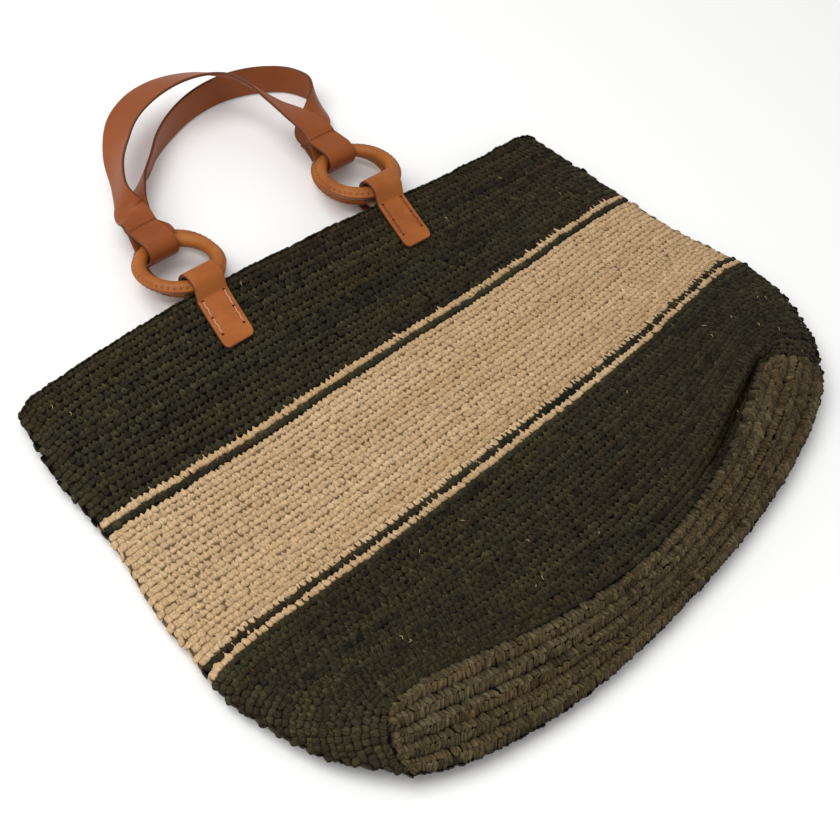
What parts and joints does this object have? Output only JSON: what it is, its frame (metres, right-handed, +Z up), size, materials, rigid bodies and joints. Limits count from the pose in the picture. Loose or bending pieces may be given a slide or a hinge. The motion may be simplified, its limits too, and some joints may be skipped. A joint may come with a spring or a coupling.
{
  "type": "crochet shoulder bag",
  "caption": "Soft crocheted raffia tote with a contrast band and an oval base, carried by leather straps on leather-covered rings held by sewn tabs.",
  "frame": {"origin": "on the outer face of the back panel that the bag lies on, on the bag's centre line", "axes": "+X along the mouth to the right handle end, +Y from the base to the mouth, +Z up from the back panel to the front panel"},
  "size_m": [0.5713, 0.5973, 0.0552],
  "materials": {
    "dark_raffia": "crocheted raffia strand, matt with faint sheen",
    "base_raffia": "crocheted raffia strand in ridged rounds, matt",
    "natural_raffia": "crocheted undyed raffia strand, matt with faint sheen",
    "tab_leather": "smooth tan leather with burnished edges",
    "ring_leather": "smooth tan leather stretched round the ring",
    "strap_leather": "smooth tan leather with burnished edges",
    "ring_core_wood": "plain turned wood"
  },
  "bodies": {
    "bag_body": {"rim_round": "dark_raffia", "upper_wall": "dark_raffia", "upper_natural_round": "natural_raffia", "upper_dark_round": "dark_raffia", "natural_band": "natural_raffia", "lower_dark_round": "dark_raffia", "lower_natural_round": "natural_raffia", "lower_wall": "dark_raffia", "base_oval": "base_raffia", "tab_front_left": "tab_leather", "tab_front_right": "tab_leather", "tab_back_left": "tab_leather", "tab_back_right": "tab_leather"},
    "front_left_ring": {"ring_cover_front_left": "ring_leather", "ring_core_front_left": "ring_core_wood"},
    "front_right_ring": {"ring_cover_front_right": "ring_leather", "ring_core_front_right": "ring_core_wood"},
    "front_strap": {"strap_front": "strap_leather"},
    "back_left_ring": {"ring_cover_back_left": "ring_leather", "ring_core_back_left": "ring_core_wood"},
    "back_right_ring": {"ring_cover_back_right": "ring_leather", "ring_core_back_right": "ring_core_wood"},
    "back_strap": {"strap_back": "strap_leather"}
  },
  "joints": [
    {"name": "front_left_ring_swing", "type": "hinge", "parent": "bag_body", "child": "front_left_ring", "pos_m": [-0.0875, 0.18836, 0.0368], "axis": [1, 0, 0], "range_deg": [0, 100]},
    {"name": "front_right_ring_swing", "type": "hinge", "parent": "bag_body", "child": "front_right_ring", "pos_m": [0.0875, 0.18836, 0.0368], "axis": [1, 0, 0], "range_deg": [0, 100]},
    {"name": "front_strap_swing", "type": "hinge", "parent": "front_left_ring", "child": "front_strap", "pos_m": [-0.0875, 0.24095, 0.02705], "axis": [0.9999, 0.0021, 0.0132], "range_deg": [0, 60]},
    {"name": "back_left_ring_swing", "type": "hinge", "parent": "bag_body", "child": "back_left_ring", "pos_m": [-0.0735, 0.20386, 0.01094], "axis": [1, 0, 0], "range_deg": [-100, 0]},
    {"name": "back_right_ring_swing", "type": "hinge", "parent": "bag_body", "child": "back_right_ring", "pos_m": [0.1015, 0.20386, 0.01094], "axis": [1, 0, 0], "range_deg": [-100, 0]},
    {"name": "back_strap_swing", "type": "hinge", "parent": "back_left_ring", "child": "back_strap", "pos_m": [-0.0735, 0.25734, 0.01094], "axis": [1, 0, 0], "range_deg": [-60, 0]}
  ],
  "couplings": [
    {"joint": "front_right_ring_swing", "follows": "front_left_ring_swing", "ratio": 1},
    {"joint": "back_right_ring_swing", "follows": "back_left_ring_swing", "ratio": 1}
  ]
}
